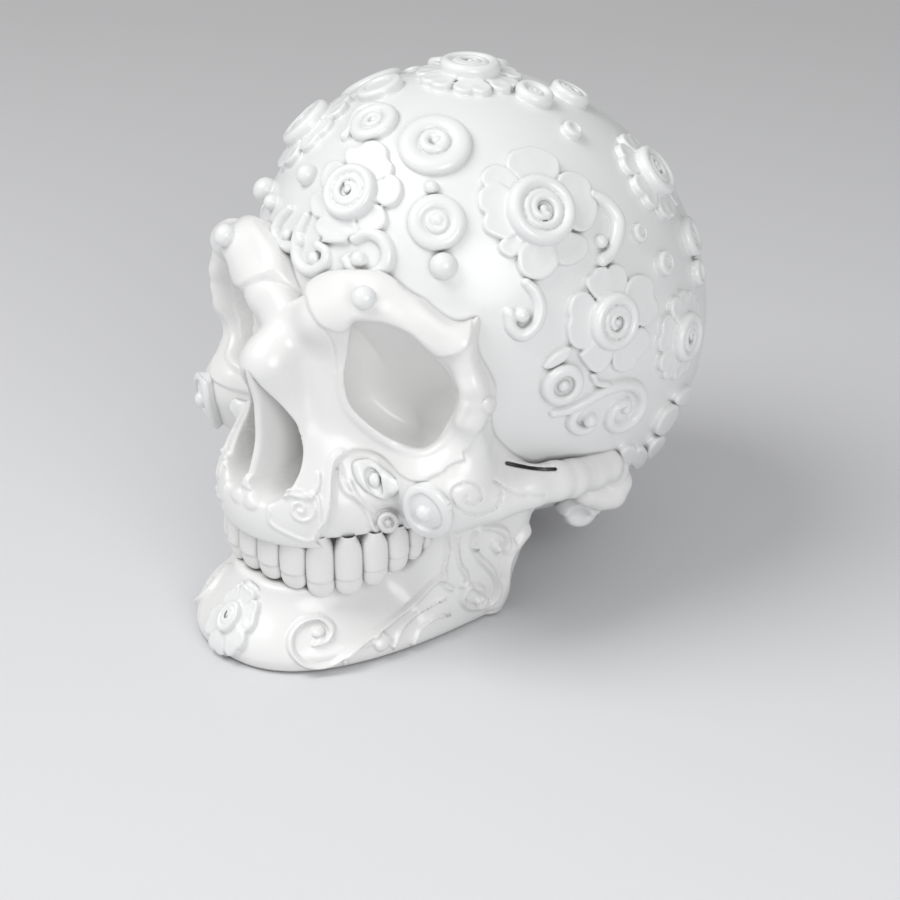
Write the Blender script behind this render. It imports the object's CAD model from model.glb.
"""Sugar skull in white glazed ceramic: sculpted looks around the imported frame.

Lengths are millimetres until a mesh is made. The frame's origin lies under the middle of the skull;
the script's own y is measured from the middle of the cranium, and BACK moves between the two.
"""

import math

import bpy
import numpy as np
import openvdb
from mathutils import Matrix, Vector


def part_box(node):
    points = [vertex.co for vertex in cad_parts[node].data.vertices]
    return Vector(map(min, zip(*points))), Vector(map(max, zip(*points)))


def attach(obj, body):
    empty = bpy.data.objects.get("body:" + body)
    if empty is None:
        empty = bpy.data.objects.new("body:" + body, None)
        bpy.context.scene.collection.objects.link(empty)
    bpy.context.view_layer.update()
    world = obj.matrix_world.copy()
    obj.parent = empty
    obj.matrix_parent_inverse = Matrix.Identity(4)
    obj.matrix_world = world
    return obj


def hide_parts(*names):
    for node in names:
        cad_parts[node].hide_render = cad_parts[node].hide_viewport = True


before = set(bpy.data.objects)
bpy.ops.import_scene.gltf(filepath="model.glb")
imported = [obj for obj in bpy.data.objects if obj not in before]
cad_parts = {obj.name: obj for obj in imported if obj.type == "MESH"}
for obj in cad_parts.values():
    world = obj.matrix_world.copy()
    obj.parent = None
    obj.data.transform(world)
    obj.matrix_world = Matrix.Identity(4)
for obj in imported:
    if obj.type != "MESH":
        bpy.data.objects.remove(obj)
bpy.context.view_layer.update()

bl_info = {
    "name": "Sugar Skull",
    "version": (1, 0, 0),
    "blender": (4, 5, 0),
    "location": "3D View > Sidebar > Sugar Skull",
    "description": "Builds a glazed sugar skull with relief ornament over its solid model",
    "category": "Object",
}

MM = 0.001
BODY = "root"

# Cranium, an egg whose long axis slopes down to the rear
EGG_HALF_WIDTH = 71.0
EGG_HALF_LENGTH = 85.3
EGG_HALF_DEPTH = 71.9
EGG_CENTRE = np.array((0.0, 0.5, 92.0))
EGG_SLOPE = math.radians(-43.0)
EGG_FRONT = -78.9
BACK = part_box("cranium_shell")[0].y / MM - EGG_FRONT

# The camera of the photograph: where it stands, where it looks and its scale
CAMERA_PLACE = np.array((592.7, -586.9, 476.4))
CAMERA_FORWARD = np.array((-0.6352, 0.6133, -0.4695))
CAMERA_RIGHT = np.array((0.6947, 0.7193, 0.0))
CAMERA_UP = np.cross(CAMERA_RIGHT, CAMERA_FORWARD)
PHOTO_SIZE = 900
FOCAL_PIXELS = 2752.2
SENSOR = 36.0


def direction(lon, lat):
    """Unit vectors from the egg's centre at two angles in degrees, round to the left and up."""
    lon, lat = np.radians(lon), np.radians(lat)
    return np.stack(
        (np.sin(lon) * np.cos(lat), -np.cos(lon) * np.cos(lat), np.sin(lat) + 0 * lon), -1
    )


def angles(points):
    """The two angles in degrees at which points are seen from the egg's centre."""
    way = points - EGG_CENTRE
    lon = np.degrees(np.arctan2(way[..., 0], -way[..., 1]))
    lat = np.degrees(np.arctan2(way[..., 2], np.hypot(way[..., 0], way[..., 1])))
    return lon, lat


def egg_radius(way):
    """How far the egg's skin is from its centre along unit vectors."""
    along = way[..., 1] * math.cos(EGG_SLOPE) + way[..., 2] * math.sin(EGG_SLOPE)
    across = way[..., 2] * math.cos(EGG_SLOPE) - way[..., 1] * math.sin(EGG_SLOPE)
    return 1 / np.sqrt(
        (way[..., 0] / EGG_HALF_WIDTH) ** 2
        + (along / EGG_HALF_LENGTH) ** 2
        + (across / EGG_HALF_DEPTH) ** 2
    )


def photo_places(points):
    """Where points appear in the photograph, in pixels, and how far away they are."""
    away = points - CAMERA_PLACE
    depth = away @ CAMERA_FORWARD
    across = PHOTO_SIZE / 2 + FOCAL_PIXELS * (away @ CAMERA_RIGHT) / depth
    down = PHOTO_SIZE / 2 - FOCAL_PIXELS * (away @ CAMERA_UP) / depth
    return np.stack((across, down), -1), depth


def smooth_step(low, high, value):
    """0 below low, 1 above high, and a smooth rise between them."""
    share = np.clip((value - low) / (high - low), 0, 1)
    return share * share * (3 - 2 * share)


def blend_min(a, b, radius):
    """The lesser of two fields, with a fillet where they meet."""
    mix = np.maximum(radius - np.abs(a - b), 0) / radius
    return np.minimum(a, b) - mix * mix * radius / 4


def blend_max(a, b, radius):
    """The greater of two fields, with a rounded edge where they meet."""
    return -blend_min(-a, -b, radius)


def run_lengths(line):
    """The distance along a line to each of its points."""
    return np.concatenate(((0.0,), np.cumsum(np.linalg.norm(np.diff(line, axis=0), axis=1))))


def round_curve(points, closed=False, steps=8):
    """A smooth curve through points: a Catmull-Rom spline with a few steps a stretch."""
    points = np.asarray(points, float)
    if closed:
        ring = np.concatenate((points[-1:], points, points[:2]))
    else:
        first = 2 * points[0] - points[1]
        last = 2 * points[-1] - points[-2]
        ring = np.concatenate((first[None], points, last[None]))
    curve = []
    for a, b, c, d in zip(ring, ring[1:], ring[2:], ring[3:]):
        for t in np.arange(steps) / steps:
            curve.append(
                0.5 * (2 * b + (c - a) * t + (2 * a - 5 * b + 4 * c - d) * t**2
                       + (3 * b - a - 3 * c + d) * t**3)
            )
    curve.append(ring[-2])
    return np.array(curve)


def line_distance(u, v, line):
    """Distance from places (u, v) to a line of points, the share along it, and the side."""
    best = np.full(u.shape, 1e9)
    share = np.zeros(u.shape)
    side = np.ones(u.shape)
    runs = line[1:] - line[:-1]
    lengths = np.hypot(runs[:, 0], runs[:, 1])
    starts = np.concatenate(((0.0,), np.cumsum(lengths)))
    for start, run, length, before in zip(line, runs, lengths, starts):
        if length == 0:
            continue
        du, dv = u - start[0], v - start[1]
        t = np.clip((du * run[0] + dv * run[1]) / length**2, 0, 1)
        gap = np.hypot(du - t * run[0], dv - t * run[1])
        nearer = gap < best
        best = np.where(nearer, gap, best)
        share = np.where(nearer, (before + t * length) / starts[-1], share)
        side = np.where(nearer, np.sign(run[0] * dv - run[1] * du), side)
    return best, share, side


def inside_distance(u, v, outline):
    """Signed distance to a closed outline, negative inside."""
    loop = np.concatenate((outline, outline[:1]))
    gap, _, _ = line_distance(u, v, loop)
    inside = np.zeros(u.shape, bool)
    for (u0, v0), (u1, v1) in zip(loop, loop[1:]):
        crosses = (v0 > v) != (v1 > v)
        if v1 != v0:
            inside ^= crosses & (u < (u1 - u0) * (v - v0) / (v1 - v0) + u0)
    return np.where(inside, -gap, gap)


# Enlarged parts of the photograph in which outlines are drawn: left and top pixel, and scale
WHOLE_VIEW = (0, 0, 1)
CROWN_VIEW = (180, 30, 5.225)
SIDE_VIEW = (440, 40, 5.227)
FACE_VIEW = (180, 300, 5.227)
LOW_VIEW = (530, 255, 6.969)
CHEEK_VIEW = (440, 420, 7.84)
MOUTH_VIEW = (190, 440, 5.808)
PIXELS_PER_MM = 3.1


def seen(view, points):
    """Pixels of the photograph from places in an enlarged part of it."""
    left, top, scale = view
    return np.array((left, top)) + np.asarray(points, float) / scale


def pixel_ray(pixels):
    """The way from the camera through pixels, one long along its axis."""
    across = (pixels[..., :1] - PHOTO_SIZE / 2) / FOCAL_PIXELS
    down = (pixels[..., 1:] - PHOTO_SIZE / 2) / FOCAL_PIXELS
    return CAMERA_FORWARD + across * CAMERA_RIGHT - down * CAMERA_UP


def egg_hits(pixels, lift):
    """Where the rays of pixels first meet the egg, grown by a lift."""
    halves = np.array((EGG_HALF_WIDTH, EGG_HALF_LENGTH, EGG_HALF_DEPTH)) + lift
    cos, sin = math.cos(EGG_SLOPE), math.sin(EGG_SLOPE)
    turned = np.array(((1, 0, 0), (0, cos, sin), (0, -sin, cos)))
    ray = pixel_ray(pixels)
    start = turned @ (CAMERA_PLACE - EGG_CENTRE) / halves
    run = ray @ turned.T / halves
    a, b = (run * run).sum(-1), run @ start
    reach = (-b - np.sqrt(np.maximum(b * b - a * (start @ start - 1), 0))) / a
    return CAMERA_PLACE + ray * reach[..., None]


def sample_map(grid, across, up, low, step):
    """A value read between the places of a map."""
    across = np.clip((across - low[0]) / step, 0, grid.shape[0] - 1.001)
    up = np.clip((up - low[1]) / step, 0, grid.shape[1] - 1.001)
    i, j = across.astype(int), up.astype(int)
    s, t = across - i, up - j
    return (
        grid[i, j] * (1 - s) * (1 - t) + grid[i + 1, j] * s * (1 - t)
        + grid[i, j + 1] * (1 - s) * t + grid[i + 1, j + 1] * s * t
    )


class PixelMap:
    """Rises and hollows in millimetres, drawn over the pixels of the photograph."""

    def __init__(self, low, high, step=0.5):
        self.low = np.array(low, float)
        self.step = step
        self.u, self.v = np.meshgrid(
            np.arange(low[0], high[0], step), np.arange(low[1], high[1], step), indexing="ij"
        )
        self.height = np.zeros(self.u.shape)

    def window(self, line, reach):
        """The part of the map that lies within reach of a line."""
        first = np.floor((line.min(0) - reach - self.low) / self.step).astype(int)
        last = np.ceil((line.max(0) + reach - self.low) / self.step).astype(int)
        first, last = np.maximum(first, 0), np.maximum(last, 0)
        return slice(first[0], last[0]), slice(first[1], last[1])

    def stroke(self, view, points, width, height, power=0.8, closed=False, taper=0.0):
        """A rounded ridge, or a groove of negative height; the half width is in pixels."""
        line = round_curve(seen(view, points), closed, 4)
        part = self.window(line, width)
        gap, share, _ = line_distance(self.u[part], self.v[part], line)
        reach = width * (1 - taper * share)
        self.height[part] += height * np.clip(1 - (gap / reach) ** 2, 0, 1) ** power

    def area(self, view, points, height, edge=1.5, fade=None):
        """A raised or sunk area inside an outline, with soft edges so many pixels wide."""
        outline = round_curve(seen(view, points), True, 4)
        part = self.window(outline, edge)
        gap = inside_distance(self.u[part], self.v[part], outline)
        rise = smooth_step(edge, -edge, gap)
        if fade:
            rise = rise * (1 - smooth_step(*fade, self.u[part]))
        self.height[part] += height * rise

    def dome(self, view, middle, radius, height):
        """A round boss; its radius is in the view's pixels."""
        middle = seen(view, middle)
        radius = radius / view[2]
        part = self.window(middle[None], radius)
        gap = np.hypot(self.u[part] - middle[0], self.v[part] - middle[1])
        self.height[part] += height * np.sqrt(np.clip(1 - (gap / radius) ** 2, 0, 1))

    def at(self, points):
        """The height where points appear; the right half is the left one mirrored."""
        places, _ = photo_places(np.concatenate((np.abs(points[..., :1]), points[..., 1:]), -1))
        return sample_map(self.height, places[..., 0], places[..., 1], self.low, self.step)


def mesh_piece(name, points, faces, replaced=()):
    """A smooth-shaded object from points in millimetres and quads or triangles of indices."""
    placed = np.array(points, float)
    placed[:, 1] += BACK
    placed *= MM
    faces = np.asarray(faces)
    mesh = bpy.data.meshes.new(name)
    mesh.vertices.add(len(placed))
    mesh.vertices.foreach_set("co", placed.ravel())
    mesh.loops.add(faces.size)
    mesh.loops.foreach_set("vertex_index", faces.ravel())
    mesh.polygons.add(len(faces))
    mesh.polygons.foreach_set("loop_start", np.arange(0, faces.size, faces.shape[1]))
    mesh.update(calc_edges=True)
    mesh.validate()
    mesh.shade_smooth()
    piece = bpy.data.objects.new(name, mesh)
    bpy.context.scene.collection.objects.link(piece)
    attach(piece, BODY)
    if replaced:
        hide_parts(*replaced)
    return piece


def surface_of(field, low, step):
    """Points and quads of the surface where a gridded field is zero, negative inside."""
    grid = openvdb.FloatGrid(float(field.max()))
    grid.copyFromArray(np.ascontiguousarray(field, np.float32))
    points, _, quads = grid.convertToPolygons(0.0, 0.0)
    points = np.asarray(points, float) * step + low
    a, b, c, d = (points[quads[:, corner]] for corner in range(4))
    volume = np.einsum("ij,ij->", a, np.cross(b, c) + np.cross(c, d))
    return points, quads if volume > 0 else quads[:, ::-1]


def finer(field, skip):
    """A field read at places between its own, so many to each."""
    for axis in range(3):
        place = np.arange((field.shape[axis] - 1) * skip + 1) / skip
        floor = np.minimum(place.astype(int), field.shape[axis] - 2)
        share = (place - floor).reshape([-1 if k == axis else 1 for k in range(3)])
        field = np.take(field, floor, axis) * (1 - share) + np.take(field, floor + 1, axis) * share
    return field


def grid_field(low, high, step, shape, skip=4, band=3.6):
    """A field over a grid, worked out fully near the surface and roughly elsewhere."""
    low = np.array(low, float)
    count = np.ceil((np.array(high) - low) / (step * skip)).astype(int) * skip + 1
    axes = [start + step * np.arange(number) for start, number in zip(low, count)]
    rough = np.stack(np.meshgrid(*(axis[::skip] for axis in axes), indexing="ij"), -1)
    field = finer(shape(rough), skip)
    near = np.nonzero(np.abs(field) < band)
    field[near] = shape(np.stack([axis[index] for axis, index in zip(axes, near)], -1))
    return field


def sheet_faces(rows, columns, closed=False):
    """Quads over a grid of points with so many rows and columns."""
    row, column = np.meshgrid(
        np.arange(rows - 1), np.arange(columns if closed else columns - 1), indexing="ij"
    )
    here = row * columns + column
    beside = row * columns + (column + 1) % columns
    return np.stack((here, beside, beside + columns, here + columns), -1).reshape(-1, 4)


# Carriers: places on a surface, with two directions across them


class EggPlace:
    """A place on the egg."""

    def __init__(self, way):
        self.way = way / np.linalg.norm(way)
        side = np.cross(self.way, (0.0, 0.0, 1.0)) * -1
        self.across = side / np.linalg.norm(side)
        self.above = np.cross(self.way, self.across)
        self.reach = float(egg_radius(self.way))

    def surface(self, u, v):
        """Points of the egg so far across and above the place."""
        ray = self.way * self.reach + u[..., None] * self.across + v[..., None] * self.above
        ray /= np.linalg.norm(ray, axis=-1, keepdims=True)
        return EGG_CENTRE + ray * egg_radius(ray)[..., None]

    def local(self, view, points, lift=2.0):
        """Distances across and above at which outlines of the photograph lie."""
        away = egg_hits(seen(view, points), lift) - EGG_CENTRE
        away = away * self.reach / (away @ self.way)[:, None]
        return np.stack((away @ self.across, away @ self.above), -1)


def egg_place(lon, lat):
    """The egg's place at two angles in degrees."""
    return EggPlace(direction(np.float64(lon), np.float64(lat)))


def seen_on_egg(view, point, lift=2.0):
    """The egg's place under a point drawn in a view; lift is how high the point stands."""
    return EggPlace(egg_hits(seen(view, point)[None], lift)[0] - EGG_CENTRE)


NORMAL_STEP = 0.6


def with_normals(surface, u, v):
    """Points of a carrier's surface, with the unit vectors that point out of it."""
    across = surface(u + NORMAL_STEP, v) - surface(u - NORMAL_STEP, v)
    above = surface(u, v + NORMAL_STEP) - surface(u, v - NORMAL_STEP)
    normal = np.cross(across, above)
    normal /= np.linalg.norm(normal, axis=-1, keepdims=True)
    here = surface(u, v)
    outward = np.einsum("...i,...i->...", normal, here - EGG_CENTRE)
    return here, normal * np.sign(outward)[..., None]


RELIEF_FOOT = 1.2
RELIEF_GROUND = 0.25
GROUND_CUT = -0.15
WALL_CUT = -1.0


class Relief:
    """Clay on a carrier: a field over distances across, above and out of the surface."""

    def __init__(self, reach, top, step=0.4):
        self.step = step
        count = int(math.ceil(reach / step))
        self.axis = np.arange(-count, count + 1) * step
        self.heights = np.arange(-RELIEF_FOOT - 0.4, top + 2 * step, step)
        self.u, self.v = np.meshgrid(self.axis, self.axis, indexing="ij")
        self.h = self.heights[None, None, :]
        self.rim = np.hypot(self.u, self.v) - reach + 2 * step
        self.field = None

    def add(self, shape, blend=0.6):
        """Joins a shape to the clay, with a fillet."""
        if self.field is None:
            self.field = shape
        else:
            self.field = blend_min(self.field, shape, blend)

    def roll_along(self, line, radius, height, squash=1.0, blend=0.6):
        """A rounded roll whose radius and height may change along the line."""
        gap, share, _ = line_distance(self.u, self.v, line)
        thick = radius(share) if callable(radius) else radius + 0 * share
        middle = height(share) if callable(height) else height + 0 * share
        reach = np.sqrt(gap[..., None] ** 2 + (squash * (self.h - middle[..., None])) ** 2)
        self.add(reach - thick[..., None], blend)

    def slab(self, inside, top, rounding=0.8, blend=0.6):
        """A slab under a top height, with rounded edges, inside an outline."""
        top = top + 0 * inside
        out = inside[..., None] + rounding
        up = self.h - top[..., None] + rounding
        edge = np.minimum(np.maximum(out, up), 0)
        edge = edge + np.hypot(np.maximum(out, 0), np.maximum(up, 0)) - rounding
        self.add(edge, blend)

    def ball(self, u, v, height, radius, blend=0.6):
        """A bead whose middle is so high over the surface."""
        reach = np.sqrt(((self.u - u) ** 2 + (self.v - v) ** 2)[..., None] + (self.h - height) ** 2)
        self.add(reach - radius, blend)

    def carve(self, inside, floor, blend=0.6):
        """Takes clay away above a floor height inside an outline."""
        hole = np.maximum(inside[..., None], floor - self.h)
        self.field = blend_max(self.field, -hole, blend)

    def mesh(self, surface, fillet=1.3):
        """The clay with a fillet to its surface, as points and quads bent over the carrier."""
        field = self.field
        if fillet:
            field = blend_min(field, self.h + RELIEF_GROUND + 0 * field, fillet)
        field = np.maximum(field, -self.h - RELIEF_FOOT)
        field = np.maximum(field, self.rim[..., None])
        low = np.array((self.axis[0], self.axis[0], self.heights[0]))
        points, faces = surface_of(field, low, self.step)
        faces = faces[points[faces, 2].max(1) > (GROUND_CUT if fillet else WALL_CUT)]
        here, normal = with_normals(surface, points[:, 0], points[:, 1])
        bent = here + normal * points[:, 2:3]
        a, b, c, d = (bent[faces[:, corner]] for corner in range(4))
        middle = bent.mean(0)
        volume = np.einsum("ij,ij->", a - middle, np.cross(b - middle, c - middle))
        return bent, faces if volume > 0 else faces[:, ::-1]


def spiral(radius, inner, turns, start, steps=60):
    """Places on a spiral from its outer end to its inner end, round (0, 0)."""
    share = np.linspace(0, 1, steps)
    angle = start + 2 * math.pi * turns * share
    reach = radius + (inner - radius) * share
    return np.stack((reach * np.cos(angle), reach * np.sin(angle)), -1)


def circle(radius, steps=40):
    """Places on a closed circle round (0, 0)."""
    angle = np.linspace(0, 2 * math.pi, steps)
    return np.stack((radius * np.cos(angle), radius * np.sin(angle)), -1)


# Ornaments


def rose_on(clay, radius, base, turn):
    """A rose standing on its petals: a broad collar round a strip that winds in to a bead."""
    disc = np.hypot(clay.u, clay.v) - radius
    clay.slab(disc, base + 1.9, 1.3)
    clay.roll_along(circle(0.79 * radius), 0.21 * radius, base + 1.9, 0.85, 0.5)
    coil = spiral(0.5 * radius, 0.2 * radius, 1.25, turn)
    clay.roll_along(circle(0.47 * radius), 0.12 * radius, base + 2.3, 0.8, 0.25)
    clay.roll_along(coil, 0.11 * radius, base + 2.5, 0.8, 0.25)
    clay.ball(0.0, 0.0, base + 2.4, 0.13 * radius, 0.3)


PETAL_TOP = 2.1
PETAL_STEP = 0.3
PETAL_DISH = 0.3
PETAL_RIM = 4.0
PETAL_ROUNDING = 0.9


def petal_slab(clay, inside, number):
    """One petal: a flat slab with a thin round edge, each a little off its neighbours' height."""
    top = PETAL_TOP + PETAL_STEP * (number % 2) - PETAL_DISH * smooth_step(0.0, PETAL_RIM, -inside)
    clay.slab(inside, top, PETAL_ROUNDING, 0.2)


def rose_in_flower(clay, rose, turn):
    """The rose of a flower, on a disc that hides the petals' roots."""
    clay.slab(np.hypot(clay.u, clay.v) - rose, 1.8, 0.8)
    rose_on(clay, rose, 1.6, turn)
    return clay


def flower(radius, rose, count, turn):
    """A flower of broad petals, each with one notch in its tip, round a rose."""
    clay = Relief(radius + 2.5, 8.0)
    half = 0.78 * radius * math.sin(math.pi / count)
    lobe = 0.62 * half
    middle = radius - lobe
    for petal in range(count):
        angle = turn + 2 * math.pi * petal / count
        along = clay.u * math.cos(angle) + clay.v * math.sin(angle)
        aside = clay.v * math.cos(angle) - clay.u * math.sin(angle)
        lobes = [np.hypot(along - middle, aside - side * half * 0.42) - lobe for side in (-1, 1)]
        body = np.hypot((along - 0.6 * middle) / 1.5, aside) - half * 0.72
        petal_slab(clay, blend_min(np.minimum(*lobes), body, 1.5), petal)
    return rose_in_flower(clay, rose, turn)


def traced_flower(spot, view, petals, rose, turn):
    """A flower whose petals have outlines drawn in a view of the photograph."""
    outlines = [round_curve(spot.local(view, petal), True, 4) for petal in petals]
    reach = max(np.abs(outline).max() for outline in outlines)
    clay = Relief(reach + 3.0, 8.0)
    for number, outline in enumerate(outlines):
        petal_slab(clay, inside_distance(clay.u, clay.v, outline), number)
    return rose_in_flower(clay, rose, turn)


def lone_rose(radius, turn):
    """A rose without petals, standing on the egg."""
    clay = Relief(radius + 1.9, 6.0)
    rose_on(clay, radius, 0.0, turn)
    return clay


def ring_disc(radius, height, bead_share=0.16):
    """A broad rounded ring round a raised disc with a bead."""
    clay = Relief(radius + 2.5, height + 2.2, 0.35)
    thick = 0.28 * radius
    clay.slab(np.hypot(clay.u, clay.v) - radius + 0.5, 0.45 * height, 0.9)
    clay.roll_along(circle(radius - thick), thick, 0.35 * height, thick / (0.65 * height), 0.5)
    clay.roll_along(circle(0.28 * radius), 0.15 * radius, 0.45 * height, 0.9, 0.4)
    clay.ball(0.06 * radius, 0.04 * radius, 0.5 * height, bead_share * radius, 0.3)
    return clay


def flat_disc(radius, height):
    """A low rounded ring with a shallow flat middle."""
    clay = Relief(radius + 2.5, height + 1.5, 0.35)
    clay.slab(np.hypot(clay.u, clay.v) - radius, height, 1.3)
    clay.carve(np.hypot(clay.u, clay.v) - 0.55 * radius, height - 0.8, 1.0)
    return clay


def bead(radius):
    """A bead sunk a little in the surface."""
    clay = Relief(radius + 1.6, radius * 1.6, 0.3)
    clay.ball(0.0, 0.0, 0.35 * radius, radius)
    return clay


def cup_ring(radius, height=4.0):
    """A thick ring whose hollow holds a bead."""
    clay = Relief(radius + 1.8, height + 1.5, 0.3)
    clay.slab(np.hypot(clay.u, clay.v) - radius, height, 1.8)
    clay.carve(np.hypot(clay.u, clay.v) - 0.5 * radius, height - 2.0, 1.2)
    clay.ball(0.0, 0.0, height - 2.2, 0.3 * radius, 0.5)
    return clay


def stud(radius, height=2.6):
    """A small round peg with a dimple in its top."""
    clay = Relief(radius + 1.6, height + 1.0, 0.3)
    clay.slab(np.hypot(clay.u, clay.v) - radius, height, 0.9)
    clay.carve(np.hypot(clay.u - 0.2 * radius, clay.v) - 0.5 * radius, height - 1.0)
    return clay


def strip_share(share):
    """How full a rolled strip is along its length: it thins towards both ends."""
    return 0.6 + 0.4 * np.sin(np.pi * np.clip(share, 0.02, 0.9)) ** 0.5


def scroll(spot, view, strips, beads):
    """Rolled strips drawn in a view, each with its half width, and beads with their radius."""
    lines = [(round_curve(spot.local(view, points), steps=5), half) for points, half in strips]
    spots = [(spot.local(view, [place])[0], radius) for place, radius in beads]
    reach = max([np.abs(line).max() + half for line, half in lines] + [1.0])
    reach = max([reach] + [np.abs(place).max() + radius for place, radius in spots])
    clay = Relief(reach + 1.5, 5.0, 0.35)
    for line, half in lines:
        clay.roll_along(line, lambda share: half * strip_share(share), 0.3 * half, 0.95, 0.4)
    for place, radius in spots:
        clay.ball(*place, 0.4 * radius, radius, 0.3)
    return clay


def plate_shape(spot, view, outline, height, rounding=1.1, hollows=(), step=0.35):
    """A flat piece with an outline drawn in a view, and shallow hollows drawn in it."""
    drawn = round_curve(spot.local(view, outline), True, 4)
    clay = Relief(np.abs(drawn).max() + 2.0, height + 2.5, step)
    clay.slab(inside_distance(clay.u, clay.v, drawn), height, rounding)
    for hollow, depth in hollows:
        drawn = round_curve(spot.local(view, hollow), True, 4)
        clay.carve(inside_distance(clay.u, clay.v, drawn), height - depth, 0.9)
    return clay


# Face: a field blended from rounded bodies


def nose_gap(p):
    """Distance to the outline of the nose's opening, seen from the front, negative inside."""
    return sample_map(NOSE_GAP, np.abs(p[..., 0]), p[..., 2], NOSE_LOW, NOSE_STEP)


NOSE_OUTLINE = (
    (-6, 90), (0, 97.5), (4, 93), (7.3, 87), (10.4, 81), (12.8, 75), (14.6, 69), (15, 64), (13.6, 59),
    (10.8, 56), (7, 55.2), (3.5, 57), (0, 61), (-6, 60),
)
NOSE_LOW = (0.0, 45.0)
NOSE_STEP = 0.25
NOSE_FRONT = -92.0
NOSE_DEPTH = 19.0
NOSE_SLOPE = 9.0
NOSE_HIGH = (30.0, 110.0)
NOSE_GAP = inside_distance(
    *np.meshgrid(
        *(np.arange(low, high, NOSE_STEP) for low, high in zip(NOSE_LOW, NOSE_HIGH)), indexing="ij"
    ),
    round_curve(NOSE_OUTLINE, True, 4),
)

SOCKET_RIM = (
    (905, 118), (1000, 115), (1100, 135), (1200, 185), (1300, 270), (1380, 350), (1430, 430), (1450, 490),
    (1440, 560), (1400, 640), (1350, 720), (1290, 765), (1240, 772), (1150, 750), (1050, 700), (950, 620),
    (890, 550), (862, 470), (855, 380), (870, 280), (885, 180),
)
SOCKET_WINDOW = ((300, 290), (500, 480))
SOCKET_TOP = 8.0
SOCKET_DEPTH = 21.0
SOCKET_SLOPE = 15.0
CUP_WALL = 4.0
# The nose's opening holds a thin wall in the middle and a ridge on each side
SEPTUM = 1.4
TURBINATE = ((14.5, -80.0, 78.0), (11.5, -79.0, 60.0), 2.0, 5.0)


def socket_map():
    """Millimetres to the socket's rim as it is seen in the photograph, negative inside."""
    gaps = PixelMap(*SOCKET_WINDOW)
    rim = round_curve(seen(FACE_VIEW, SOCKET_RIM), True, 4)
    gaps.height = inside_distance(gaps.u, gaps.v, rim) / PIXELS_PER_MM
    return gaps


socket_gap = socket_map()


def bowl(inside, breadth):
    """A bowl's share of its depth, from 0 at the rim to 1 where it is so far inside."""
    return np.sqrt(1 - (1 - np.clip(inside / breadth, 0, 1)) ** 2)


def openings(p, shell):
    """The sockets and the nose's opening as one field, negative inside them."""
    gap = socket_gap.at(p)
    socket = np.maximum(gap, SOCKET_TOP - SOCKET_DEPTH * bowl(-gap, SOCKET_SLOPE) - shell)
    gap = nose_gap(p)
    nose = np.maximum(gap, p[..., 1] - NOSE_FRONT - NOSE_DEPTH * bowl(-gap, NOSE_SLOPE))
    mirrored = np.concatenate((np.abs(p[..., :1]), p[..., 1:]), -1)
    nose = np.maximum(nose, -rod_field(mirrored, *TURBINATE))
    nose = np.maximum(nose, SEPTUM - mirrored[..., 0])
    return np.minimum(socket, nose)


def ball_field(p, middle, half):
    """Distance, nearly, to a ball with three half sizes."""
    q = (p - np.array(middle)) / np.array(half)
    reach = np.linalg.norm(q, axis=-1)
    slope = np.linalg.norm(q / np.array(half), axis=-1)
    return reach * (reach - 1) / np.maximum(slope, 1e-6)


def rod_field(p, start, end, start_radius, end_radius):
    """Distance to a round rod whose radius changes from end to end."""
    start, run = np.array(start), np.array(end) - np.array(start)
    share = np.clip((p - start) @ run / (run @ run), 0, 1)
    gap = np.linalg.norm(p - start - share[..., None] * run, axis=-1)
    return gap - start_radius - (end_radius - start_radius) * share


def rods_field(p, line, radii):
    """Distance to a chain of rods along a line of points."""
    line = np.array(line)
    radii = np.broadcast_to(radii, (len(line),))
    best = rod_field(p, line[0], line[1], radii[0], radii[1])
    for a, b, ra, rb in zip(line[1:], line[2:], radii[1:], radii[2:]):
        best = blend_min(best, rod_field(p, a, b, ra, rb), 1.5)
    return best


def egg_point(lon, lat, lift):
    """A point so high over the egg at two angles in degrees."""
    way = direction(np.float64(lon), np.float64(lat))
    return EGG_CENTRE + way * (egg_radius(way) + lift)


# The face's bodies, for its left half: places, and radii or half sizes
PLATE = 5.5
PLATE_EDGE = 3.5
FACE_BLEND = 9.0
NOSE_BRIDGE = ((0.0, -76.0, 115.0), (0.0, -93.0, 98.0), 6.0, 7.0)
NOSE_BODY = ((0.0, -93.0, 98.0), (0.0, -82.0, 68.0), 7.0, 18.0)
NOSE_SIDE = ((7.0, -70.0, 108.0), (14.0, -78.0, 70.0), 8.0, 8.0)
MAXILLA = ((0.0, -60.5, 48.0), (38.0, 46.0, 32.0))
CHEEK = ((47.0, -62.0, 63.0), (17.0, 16.5, 15.0))
PALATE = 41.0
PALATE_EDGE = 2.5
ARCH_LINE = (
    (45.0, -67.0, 54.5), (51.0, -62.0, 54.8), (57.0, -52.0, 57.2), (62.0, -40.0, 58.2),
    (64.0, -30.0, 57.3), (64.0, -22.8, 55.5), (62.5, -12.0, 53.2), (61.5, -5.0, 52.5),
)
ARCH_RADII = (8.0, 8.4, 8.0, 6.8, 6.3, 6.1, 6.1, 6.6)
ARCH_BLEND = 5.0
ROLL_LINE = (
    (60.0, -2.0, 50.5), (59.0, 2.5, 47.5), (58.5, 5.0, 41.5), (58.0, 3.0, 37.8), (57.0, -1.0, 38.5),
    (56.0, -6.0, 41.0),
)
ROLL_RADIUS = 5.0
ROLL_BLEND = 3.0
BROW_LINE = (egg_point(9, 15, PLATE), egg_point(21, 20, PLATE), egg_point(33, 15, 3))
BROW_RADIUS = 6.0
RIM_LINE = (
    egg_point(38, 20, 5), egg_point(42, 14, 9), egg_point(43.5, 6, 10.5), egg_point(43.5, -2, 10.5),
    egg_point(43, -10, 8), egg_point(40, -18, 5),
)
RIM_RADIUS = 5.0
OPENING_EDGE = 2.0


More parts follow.
